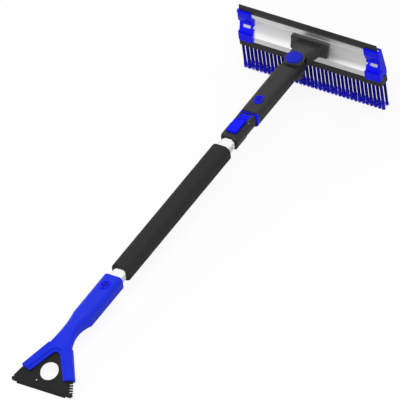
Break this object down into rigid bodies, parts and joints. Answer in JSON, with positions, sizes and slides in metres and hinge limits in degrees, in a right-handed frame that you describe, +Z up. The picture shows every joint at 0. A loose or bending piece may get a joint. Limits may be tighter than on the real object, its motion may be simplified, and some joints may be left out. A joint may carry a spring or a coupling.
{
  "type": "snow brush scraper",
  "caption": "Telescopic snow brush: swivelling aluminium head with squeegee, bristles and end caps, flip lock, foam grip and a forked ice scraper.",
  "frame": {"origin": "middle of the footprint, on the surface that the bristle tips and the scraper's edge rest on", "axes": "+Y along the pole towards the brush head, +X to the head's right end, +Z up on the buttons' side; the pole is tipped up by 3.49 degrees towards the head"},
  "size_m": [0.278, 0.9172, 0.1394],
  "materials": {
    "handle_blue": "moulded, satin",
    "button_blue": "moulded, semi-gloss",
    "cap_blue": "moulded, semi-gloss",
    "black_plastic": "moulded, fine satin",
    "blade_plastic": "moulded, smooth",
    "black_rubber": "extruded rubber",
    "foam_black": "closed-cell foam, fine matt skin",
    "tube_aluminium": "drawn, polished",
    "head_aluminium": "extruded, satin",
    "bristle_blue": "nylon filament",
    "steel": "plain",
    "inner_plastic": "moulded acetal"
  },
  "bodies": {
    "pole": {"outer_tube": "tube_aluminium", "tube_plug": "inner_plastic", "foam_grip": "foam_black", "lock_collar": "black_plastic", "lever_pin": "steel", "scraper_handle": "handle_blue", "scraper_blade": "blade_plastic", "blade_screws": "steel", "scraper_button_spring": "steel"},
    "scraper_button": {"scraper_button": "button_blue"},
    "lever": {"lock_lever": "button_blue"},
    "shoe": {"clamp_shoe": "button_blue"},
    "neck": {"inner_tube": "tube_aluminium", "tube_bush": "inner_plastic", "neck_housing": "black_plastic", "coupling_ring": "button_blue", "neck_button_spring": "steel"},
    "neck_button": {"neck_button": "button_blue"},
    "head": {"head_bracket": "black_plastic", "bracket_screws": "steel", "head_extrusion": "head_aluminium", "squeegee_blade": "black_rubber", "brush_strip": "black_plastic", "bristle_row_front": "bristle_blue", "bristle_row_middle": "bristle_blue", "bristle_row_back": "bristle_blue", "end_cap_left": "cap_blue", "end_cap_right": "cap_blue", "pivot_spring": "steel"},
    "pivot_plunger": {"pivot_button": "button_blue", "pivot_lock_gear": "inner_plastic", "pivot_screw": "steel"}
  },
  "joints": [
    {"name": "pole_slide", "type": "slide", "parent": "pole", "child": "neck", "axis": [0, 0.9981, 0.0609], "range_m": [0, 0.3]},
    {"name": "head_swivel", "type": "hinge", "parent": "neck", "child": "head", "pos_m": [0, 0.38728, 0.09172], "axis": [0, -0.0609, 0.9981], "range_deg": [-90, 90]},
    {"name": "pivot_button_press", "type": "slide", "parent": "head", "child": "pivot_plunger", "axis": [0, 0.0609, -0.9981], "range_m": [0, 0.0054], "stiffness_N_per_m": 900, "springref_m": -0.004, "deforming": ["pivot_spring"]},
    {"name": "neck_button_press", "type": "slide", "parent": "neck", "child": "neck_button", "axis": [0, 0.0609, -0.9981], "range_m": [0, 0.0018], "stiffness_N_per_m": 700, "springref_m": -0.003, "deforming": ["neck_button_spring"]},
    {"name": "scraper_button_press", "type": "slide", "parent": "pole", "child": "scraper_button", "axis": [0, 0.0609, -0.9981], "range_m": [0, 0.0018], "stiffness_N_per_m": 700, "springref_m": -0.003, "deforming": ["scraper_button_spring"]},
    {"name": "lock_lever_flip", "type": "hinge", "parent": "pole", "child": "lever", "pos_m": [0, 0.21087, 0.09298], "axis": [-1, 0, 0], "range_deg": [0, 75]},
    {"name": "clamp_shoe_lift", "type": "slide", "parent": "pole", "child": "shoe", "axis": [0, -0.0609, 0.9981], "range_m": [0, 0.0006]}
  ]
}
